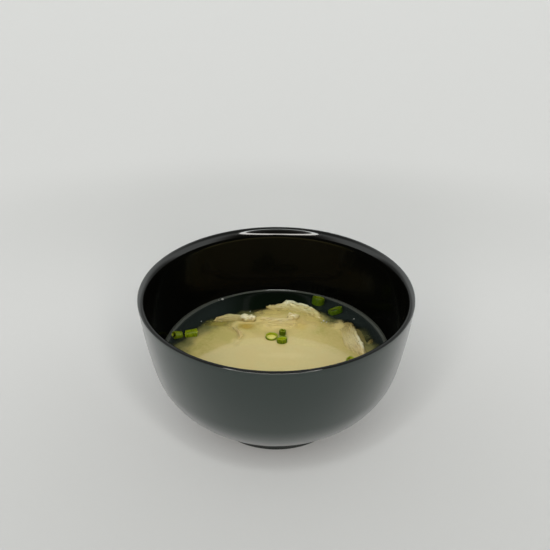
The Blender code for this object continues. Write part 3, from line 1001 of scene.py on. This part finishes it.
# %% The noodles and their finish
WHEAT_DARK = (0.66, 0.54, 0.28)
WHEAT_LIGHT = (0.80, 0.70, 0.42)
wheat = Finish("wheat_noodle", {"IOR": 1.36, "Roughness": 0.6})
wheat_tone = wheat.blend(wheat.clouds(4 * MM, detail=2.0), WHEAT_DARK, WHEAT_LIGHT)
wheat.set({"Base Color": under_broth(wheat, wheat_tone, 4.5 * MM, 8 * MM)})
noodle_draw = random.Random(11)
strands = []
for i in range(NOODLES):
    path = noodle(noodle_draw, HEAP_LAYERS * i / NOODLES)
    strands.append(tube(path, [NOODLE_RADIUS] * NOODLE_POINTS, sides=7))
noodles = piece("sunk_noodles", mesh_from("sunk_noodles", joined(strands)), [wheat])

# %% [markdown]
# ## Spring onion
# A slice of spring onion is a short piece of a hollow leaf: dark green skin with fine lengthwise lines,
# pale yellow-green inside, and wet cut ends that look the brightest. The solid is a plain tube with
# sixteen sides. Far more of its faces look along the leaf than any other way, because the two cut ends
# do. That gives the leaf's axis, and its points give the oval. A rounded section of the leaf's wall is
# spun into a ring, made a little uneven as cut leaves are, and laid where the solid is.

# %% Slices of spring onion
LEAF_WALL = 0.70 * MM
CUT_ROUNDING = 0.20 * MM
LEAF_SPIN = 48
LEAF_UNEVENNESS = 0.07
SAME_WAY = 0.999


def leaf_axis(bm):
    """The direction along which most of a slice's faces look: that of its two cut ends."""
    normals = np.array([face.normal for face in bm.faces])
    alike = abs(normals @ normals.T) > SAME_WAY
    return normals[alike.sum(1).argmax()]


def wall_section(radius, half_length):
    """The closed outline of the leaf's wall, with rounded cut edges."""
    inner = radius - LEAF_WALL
    straight = half_length - CUT_ROUNDING
    corner = {"rise": CUT_ROUNDING, "steps": 3}
    below = {"rise": -CUT_ROUNDING, "steps": 3}
    section = quarter(radius, straight, -CUT_ROUNDING, **corner)
    section += quarter(inner, straight, CUT_ROUNDING, **corner)[::-1] + [(inner, 0.0)]
    section += quarter(inner, -straight, CUT_ROUNDING, **below)
    section += quarter(radius, -straight, -CUT_ROUNDING, **below)[::-1] + [(radius, 0.0)]
    return section + section[:1]


def slice_of(node, seed):
    """The mesh of a slice, with how far out in the wall and how near to a cut end each point is."""
    solid = copy_of(node)
    axis = leaf_axis(solid)
    points = np.array([vert.co for vert in solid.verts])
    middle = points.mean(0)
    along = (points - middle) @ axis
    flat = points - middle - np.outer(along, axis)
    wide = np.linalg.svd(flat, full_matrices=False)[2][0]
    narrow = np.cross(axis, wide)
    half_wide = abs(flat @ wide).max()
    half_narrow = abs(flat @ narrow).max()
    half_length = abs(along).max()
    radius = (half_wide + half_narrow) / 2
    ring = turned(wall_section(radius, half_length), LEAF_SPIN)
    skin = [(math.hypot(vert.co.x, vert.co.y) - radius + LEAF_WALL) / LEAF_WALL for vert in ring.verts]
    cut = [abs(vert.co.z) / half_length for vert in ring.verts]
    for vert in ring.verts:
        spot = Vector((vert.co.x / radius, vert.co.y / radius, seed * 3.0))
        vert.co.xy *= 1 + LEAF_UNEVENNESS * noise.noise(spot * 1.3)
        vert.co.z *= 1 + 2 * LEAF_UNEVENNESS * noise.noise(spot * 2.1 + Vector((9, 0, 0)))
    stretch = (wide * half_wide / radius, narrow * half_narrow / radius, axis)
    turn = Matrix([Vector(column) for column in stretch]).transposed().to_4x4()
    bmesh.ops.transform(ring, matrix=Matrix.Translation(Vector(middle)) @ turn, verts=ring.verts)
    mesh = mesh_from("cut_" + node, ring)
    keep(mesh, "skin", skin)
    keep(mesh, "cut", cut)
    return mesh


print(f"a leaf's wall is {LEAF_WALL / MM:.1f} mm thick")

# %% [markdown]
# ### The finish of the leaves, and their ages
# Fresh inner leaves are yellow-green, and old outer ones dark green. Two numbers on each point say how far
# out in the leaf's wall it lies and how near to a cut end. They choose between flesh and skin. A third
# number, the same over a whole slice, is its age: it blends the slice towards the dark green.

# %% The slices and their finish
SKIN_GREEN = (0.110, 0.150, 0.0)
SKIN_LIGHT = (0.27, 0.33, 0.004)
FLESH = (0.44, 0.50, 0.010)
OLD_GREEN = (0.016, 0.045, 0.001)
leaf = Finish("spring_onion", {
    "Specular IOR Level": 0.2,
    "Subsurface Weight": 0.15,
    "Subsurface Scale": 0.8 * MM,
    "Subsurface Radius": (0.5, 1.0, 0.2),
})
lines = leaf.clouds(0.5 * MM, detail=2.0, stretch=(1, 1, 4))
skin_tone = leaf.blend(leaf.smooth(lines, 0.35, 0.7), SKIN_GREEN, SKIN_LIGHT)
flesh_share = 1 - leaf.smooth(leaf.kept("skin"), 0.10, 0.55)
cut_share = leaf.smooth(leaf.kept("cut"), 0.85, 0.98) * 0.3
young = leaf.blend(leaf.larger(flesh_share, cut_share), skin_tone, FLESH)
leaf_tone = leaf.blend(leaf.kept("age"), young, OLD_GREEN)
leaf.set({
    "Base Color": under_broth(leaf, leaf_tone, 3 * MM, 9 * MM),
    "Roughness": 0.22 + leaf.clouds(0.8 * MM) * 0.2,
})
leaf.bump(lines, 0.05 * MM)
LEAF_AGES = {
    "scallion_back": 0.82,
    "scallion_right": 0.84,
    "scallion_left": 0.35,
    "scallion_left_2": 0.15,
    "scallion_near": 0.25,
    "scallion_ring": 0.30,
    "scallion_tube": 0.60,
    "scallion_low": 0.30,
}
slices = []
for seed, (node, age) in enumerate(LEAF_AGES.items()):
    mesh = slice_of(node, seed)
    keep(mesh, "age", [age] * len(mesh.vertices))
    slices.append(piece("cut_" + node, mesh, [leaf], [node]))

# %% [markdown]
# ## The broth
# The soup's surface is a thin, glossy skin over a cloudy body. It is one closed shape, turned from a
# profile: level in the middle, drawn up at the wall by surface tension, and then down inside the wall,
# so that no gap shows. The rings of points are closest together at the wall, where the surface bends.

# %% The broth's shape
BROTH_TUCK = 0.2 * MM
CLIMB = 0.45 * MM
CLIMB_LENGTH = 1.3 * MM
LAST_WIDTH = 0.40 * MM
LAST_SLOPE = 0.47
SURFACE_STEP = 0.55 * MM
EDGE_STEP = 0.10 * MM
EDGE_WIDTH = 5.0 * MM
SURFACE_SPIN = 360


def climb(radius, wall_radius):
    """How far the surface stands above the level at this radius: a long curve and a short steep slope."""
    gap = radius - wall_radius
    return CLIMB * math.exp(gap / CLIMB_LENGTH) + LAST_SLOPE * max(gap + LAST_WIDTH, 0.0)


wall_line = inner_wall(LEVEL + CLIMB + LAST_SLOPE * LAST_WIDTH, BROTH_TUCK)
wall_radius = wall_line[0][0]
flat_steps = int((wall_radius - EDGE_WIDTH) / SURFACE_STEP)
edge_steps = int(EDGE_WIDTH / EDGE_STEP)
surface_radii = [(wall_radius - EDGE_WIDTH) * i / flat_steps for i in range(flat_steps)]
surface_radii += [wall_radius - EDGE_WIDTH * (1 - i / edge_steps) for i in range(edge_steps + 1)]
surface_line = [(radius, LEVEL + climb(radius, wall_radius)) for radius in surface_radii]
broth_profile = surface_line + wall_line[1:] + [(0.0, wall_line[-1][1])]
broth_mesh = mesh_from("cloudy_soup", turned(broth_profile, SURFACE_SPIN))
print(f"the surface meets the wall {wall_radius / MM:.1f} mm from the middle")

# %% [markdown]
# ### What shows through
# Broth is see-through where something lies close under it, and milky where nothing does. A real volume
# would do that, but renders slowly and can't be exported. So rays go down from each point and from six
# places round it, and the mean of what they find says how much of the things below shows there.

# %% How much shows through the surface, point by point
SHOW_DEPTH = 4.0 * MM
LOOK_ROUND = 1.1 * MM
LOOKS_ROUND = 6
below = bmesh.new()
for obj in meats + slices + sunk_pieces + [noodles, bowl]:
    below.from_mesh(obj.data)
below_tree = BVHTree.FromBMesh(below)
below.free()
look_offsets = [Vector((0, 0, 0))]
for turn in np.arange(LOOKS_ROUND) * math.tau / LOOKS_ROUND:
    look_offsets.append(Vector((LOOK_ROUND * math.cos(turn), LOOK_ROUND * math.sin(turn), 0)))
shows = []
for vert in broth_mesh.vertices:
    seen = 0.0
    if vert.co.z >= LEVEL:
        for offset in look_offsets:
            distance = below_tree.ray_cast(vert.co + offset, DOWN)[3]
            seen += math.exp(-distance / SHOW_DEPTH) if distance is not None else 1.0
    shows.append(seen / len(look_offsets))
keep(broth_mesh, "shows", shows)
print(f"{len(shows)} points of the surface looked down")

# %% [markdown]
# ### Patches
# Meat, fat and leaf that lie just under the surface tint the broth over them, and their edges are lost in
# the milk. Each patch is an oval with a ragged, soft edge, placed over the thing that causes it: ochre
# over deep meat, pale over shallow meat, and green beside the slices of spring onion. Three also paint
# shade: the ochre ones are also the shade under the far piece, the fat one is also the shade in front of
# the left piece's knob, and the olive one is a painted shadow under the left piece.

# %% Patches that take the colour of what is close under them: middle and half size in mm
# Ochre of deep meat, and also a painted shade under the far piece.
OCHRE = (0.48, 0.385, 0.130)
# Fat, and also the painted shade in front of the left piece's knob.
FAT_AND_SHADE = (0.40, 0.27, 0.045)
# A painted shadow under the left piece of chicken.
OLIVE_SHADE = (0.27, 0.225, 0.045)
PALE_MEAT = (0.67, 0.54, 0.225)
DEEPER = (0.44, 0.375, 0.125)
WARM = (0.575, 0.470, 0.205)
SHRED = (0.62, 0.51, 0.225)
WARM_OCHRE = (0.55, 0.42, 0.130)
LEAF_GLOW = (0.60, 0.57, 0.09)
LEAF_SHADE = (0.09, 0.16, 0.004)
STAINS = (
    ((-2.6, 30.2), (7.0, 3.2), OCHRE),
    ((18.0, 24.5), (6.0, 4.5), OCHRE),
    ((-14.2, 18.2), (4.4, 2.6), FAT_AND_SHADE),
    ((-14.0, 21.6), (5.0, 1.6), PALE_MEAT),
    ((30.5, 18.0), (3.6, 4.6), PALE_MEAT),
    ((-27.5, 20.0), (6.5, 2.6), OLIVE_SHADE),
    ((-8.5, 23.6), (4.5, 4.0), PALE_MEAT),
    ((-1.0, 18.2), (9.0, 3.2), PALE_MEAT),
    ((-22.5, 9.5), (7.0, 6.0), DEEPER),
    ((4.0, -4.5), (11.0, 2.4), WARM),
    ((-20.0, 18.5), (1.9, 3.4), SHRED),
    ((-17.0, 12.5), (1.8, 3.4), SHRED),
    ((-18.6, 6.6), (2.3, 2.2), SHRED),
    ((12.2, 17.8), (3.0, 3.4), WARM_OCHRE),
    ((-2.1, 9.8), (2.3, 2.0), LEAF_GLOW),
    ((3.0, 9.8), (2.7, 2.1), LEAF_SHADE),
)


def stain_share(nodes, middle, half):
    """How strong an uneven patch is: most in its middle, and falling softly to 0 round it."""
    distance = oval(nodes, [number * MM for number in middle], [number * MM for number in half])
    ragged = (nodes.clouds(2.5 * MM, detail=3.0) - 0.5) * 1.1
    return nodes.smooth(distance + ragged, 1.4, 0.3) * 0.85


print(f"{len(STAINS)} patches")

# %% [markdown]
# ### The finish of the broth
# The colour goes on in layers over the veil: pale motes, a smooth and paler front that is a painted
# reflection, warm mottling, a dark grey haze on the clear broth at both sides that is a painted reflection
# of the room, the film at the wall, and then the patches. The alpha says how much of what is below is
# covered, and it is near 1 at the wall. Broth passes on the light that it scatters, so the surface throws
# no shadow on what is in it. A loop lays the layers on, because each is no more than a colour and a share.

# %% Where the broth lets things show, and where it doesn't
CLEAR_POWER = 1.2
MILKY_POWER = 4.2
MILKY_SHOWS = 0.6
COVERED_EDGE = (wall_radius - 3.2 * MM, wall_radius - 1.6 * MM)
EDGE_COVER = 0.95
soup = Finish("cloudy_broth", {"IOR": 1.34, "Roughness": 0.035, "Specular IOR Level": 0.5})
soup_distance = cloud_distance(soup)
soup_x, soup_y, soup_z = soup.split(soup.place())
soup_radius = (soup_x * soup_x + soup_y * soup_y) ** 0.5
milky = soup.smooth(soup_distance, *MILKY_STEP)
showing = soup.kept("shows") ** between(milky, CLEAR_POWER, MILKY_POWER) * between(milky, 1.0, MILKY_SHOWS)
cover = soup.larger(1 - showing, soup.smooth(soup_radius, *COVERED_EDGE) * EDGE_COVER)
print(f"in the milk, at most {MILKY_SHOWS:.0%} of what is below shows")

# %% The broth's colour, layer by layer
MOTE = (0.72, 0.60, 0.28)
FRONT_CENTRE = (-2.0 * MM, -16.0 * MM)
FRONT_HALF = (37.0 * MM, 20.0 * MM)
# The paler, smooth front of the broth is a painted reflection.
FRONT_REFLECTION = (0.526, 0.434, 0.192)
WARM_MILK = (0.555, 0.428, 0.172)
# The dark grey on the clear broth at both sides is a painted reflection of the room.
ROOM_REFLECTION = (0.015, 0.020, 0.018)
ROOM_REFLECTION_SIDES = (12 * MM, 34 * MM)
FILM_EDGE = (wall_radius - 1.3 * MM, wall_radius - 0.8 * MM)
motes = soup.smooth(soup.clouds(1.4 * MM, detail=4.0, rough=0.7), 0.35, 0.75)
mottled = soup.smooth(soup.clouds(8 * MM, detail=3.0), 0.40, 0.60)
layers = [
    (motes * milky * 0.25, MOTE),
    (soup.smooth(oval(soup, FRONT_CENTRE, FRONT_HALF), 1.03, 0.97) * 0.5, FRONT_REFLECTION),
    (mottled * milky * 0.5, WARM_MILK),
    (soup.smooth(abs(soup_x), *ROOM_REFLECTION_SIDES) * soup.smooth(soup_distance, 1.05, 1.25), ROOM_REFLECTION),
    (soup.smooth(soup_radius, *FILM_EDGE), RIM_FILM),
]
stains = [(stain_share(soup, middle, half), colour) for middle, half, colour in STAINS]
tone = veil(soup, soup_distance)
for share, colour in layers + stains:
    tone = soup.blend(share, tone, colour)
for share, colour in stains:
    cover = soup.larger(cover, share)
soup.set({"Base Color": tone, "Alpha": cover})
soup.bump(soup.clouds(7 * MM, detail=1.0), 0.05 * MM)
broth = piece("cloudy_soup", broth_mesh, [soup], ["broth"])
broth.visible_shadow = False

# %% [markdown]
# ## Bubbles
# A few bubbles are left from pouring: one of a millimetre and a half against the wall at the back left,
# and smaller ones beside it, by the chicken and at the sides. Each is a dome of thin film that catches the
# light, and its pale colour is a painted highlight. They are balls cut just under the level by a plane,
# and closed below.

# %% Bubbles: place (x, y) and radius in mm
BUBBLES = (
    (-27.8, 41.8, 0.75), (-29.6, 40.9, 0.40), (23.2, 22.4, 0.50), (24.6, 21.2, 0.35), (22.1, 20.9, 0.30),
    (-13.0, 30.6, 0.30), (38.3, 24.0, 0.35), (-36.5, 22.0, 0.30),
)
DOME_LIFT = 0.1
CUT_DEPTH = 0.1 * MM
# The film's pale colour is a painted highlight.
FILM_HIGHLIGHT_WHITE = (0.75, 0.75, 0.70)
cut_plane = {"plane_co": (0, 0, LEVEL - CUT_DEPTH), "plane_no": (0, 0, 1), "clear_inner": True}
domes = []
for x, y, radius in BUBBLES:
    dome = bmesh.new()
    bmesh.ops.create_icosphere(dome, subdivisions=3, radius=radius * MM)
    bmesh.ops.translate(dome, vec=(x * MM, y * MM, LEVEL + DOME_LIFT * radius * MM), verts=dome.verts)
    everything = list(dome.verts) + list(dome.edges) + list(dome.faces)
    bmesh.ops.bisect_plane(dome, geom=everything, **cut_plane)
    bmesh.ops.holes_fill(dome, edges=dome.edges, sides=0)
    domes.append(dome)
film = Finish("bubble_film", {"Base Color": FILM_HIGHLIGHT_WHITE, "IOR": 1.34, "Roughness": 0.03})
film.set({"Alpha": 0.25 + film.clouds(0.6 * MM) * 0.3})
piece("surface_bubbles", mesh_from("surface_bubbles", joined(domes)), [film])

# %% [markdown]
# ## The studio
# The bowl stands on a plain pale floor, such as a sheet of paper that runs on behind it. The floor is
# darkest near the camera and grows lighter in soft steps away from it, with one broad, soft shade behind
# the bowl. Painting that gives an even background, and no lamp has to be tuned for it.

# %% Floor: where each step to lighter paint starts and ends, and how much it adds
FLOOR_RADIUS = 4.0
FLOOR_DARK = (0.371, 0.368, 0.365)
FLOOR_LIGHT = (0.488, 0.482, 0.484)
FLOOR_STEPS = ((-0.30, -0.11, 0.64), (-0.11, 0.06, 0.28), (0.1, 1.2, 0.04))
SHADE_CENTRE = (0.0, 0.215)
SHADE_HALF = (0.34, 0.17)
SHADE = 0.42
floor_bm = bmesh.new()
bmesh.ops.create_circle(floor_bm, cap_ends=True, segments=96, radius=FLOOR_RADIUS)
floor = bpy.data.objects.new("studio_floor", mesh_from("studio_floor", floor_bm))
scene.collection.objects.link(floor)
paint = Finish("studio_floor", {"Roughness": 0.7, "Specular IOR Level": 0.1})
back = paint.split(paint.place())[1]
light_share = paint.smooth(oval(paint, SHADE_CENTRE, SHADE_HALF), 1.0, 0.25) * -SHADE
for near, far, more in FLOOR_STEPS:
    light_share = light_share + paint.smooth(back, near, far) * more
paint.set({"Base Color": paint.blend(light_share, FLOOR_DARK, FLOOR_LIGHT)})
floor.data.materials.append(paint.material)
print(f"the floor reaches {FLOOR_RADIUS} m each way")

# %% [markdown]
# ### The light
# A sky does the lighting, because lamps near the bowl would get in the way of a camera that walks round
# it. It is bright at the sides and behind, dim above and dark in front, where a ring lamp hangs round the
# camera. The lamp lights the food from the front, and its mirror image is the pale ring in the bowl's far
# lip. The room's light is faintly green and the lamp's side faintly warm.

# %% Sky
SKY_SIDES = 1.27
SKY_ABOVE = 0.25
SKY_FRONT = 0.035
FRONT_STEP = (0.35, 0.85)
ABOVE_STEP = (0.60, 0.92)
ROOM_TINT = (0.960, 1.0, 0.975)
LAMP_TINT = (1.0, 0.96, 0.91)
RING_LIGHT = 14.8
RING_AIM = math.radians(-2.5)
RING_HEIGHT = math.radians(37.5)
RING_HALF = math.radians(37.5)
HOLE_HEIGHT = math.radians(40)
HOLE_HALF = math.radians(31)
RING_SOFT = math.radians(0.6)
RING_NARROW = 1.28
world = bpy.data.worlds.new("studio")
world.use_nodes = True
scene.world = world
sky = Nodes(world.node_tree)
towards = sky.add("ShaderNodeTexCoord", out="Generated")
sky_x, sky_y, sky_z = sky.split(towards)
front = sky.smooth(sky_y * -1.0, *FRONT_STEP)
room = between(sky.smooth(sky_z, *ABOVE_STEP), between(front, SKY_SIDES, SKY_FRONT), SKY_ABOVE)
widened = sky.add("ShaderNodeVectorMath", {"operation": "MULTIPLY"}, {0: towards, 1: (RING_NARROW, 1, 1)})
widened = sky.add("ShaderNodeVectorMath", {"operation": "NORMALIZE"}, {0: widened})


def disc(height, half):
    """1 inside a round patch of the sky in front, this high up and this wide."""
    middle = (math.sin(RING_AIM), -math.cos(height), math.sin(height))
    product = {"operation": "DOT_PRODUCT"}
    cosine = sky.add("ShaderNodeVectorMath", product, {0: widened, 1: middle}, out="Value")
    return sky.smooth(cosine, math.cos(half + RING_SOFT), math.cos(half))


ring = disc(RING_HEIGHT, RING_HALF) * (1 - disc(HOLE_HEIGHT, HOLE_HALF)) * RING_LIGHT
backdrop = sky.tree.nodes["Background"]
sky.put(backdrop.inputs["Color"], sky.blend(front, ROOM_TINT, LAMP_TINT))
sky.put(backdrop.inputs["Strength"], room + ring)
print(f"the lamp is {RING_LIGHT / SKY_SIDES:.0f} times as bright as the room")
